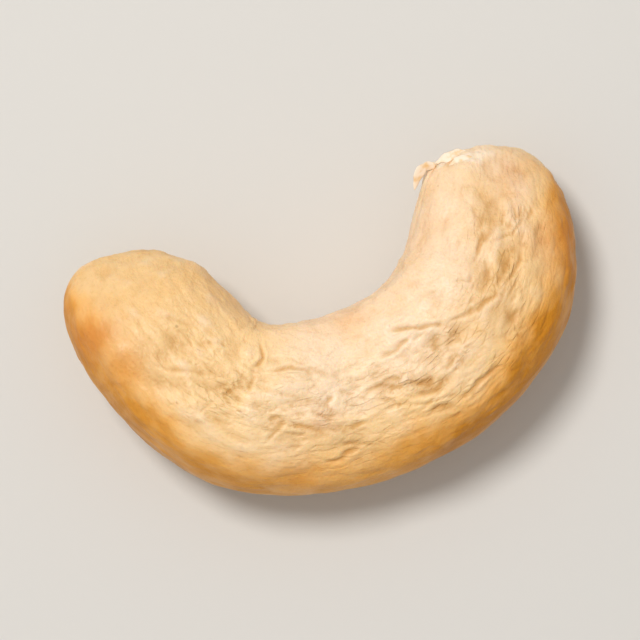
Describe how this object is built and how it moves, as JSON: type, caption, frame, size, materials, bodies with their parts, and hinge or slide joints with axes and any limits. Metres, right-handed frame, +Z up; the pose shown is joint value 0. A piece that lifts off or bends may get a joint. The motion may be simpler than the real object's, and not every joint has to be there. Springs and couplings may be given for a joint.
{
  "type": "cashew nut",
  "caption": "C-shaped shelled cashew kernel with a broad lobe, a narrower tip, a seam round its edge and finely creased skin, lying on its cheek.",
  "frame": {"origin": "centre of the kernel's plan box, on the surface it rests on", "axes": "+X along the kernel from the broad lobe to the tip, +Y from the back to the open side of the bend, +Z up"},
  "size_m": [0.0301, 0.0176, 0.0096],
  "materials": {
    "kernel_skin": "satin, blanched and lightly roasted"
  },
  "bodies": {
    "root": {"kernel": "kernel_skin"}
  },
  "joints": []
}
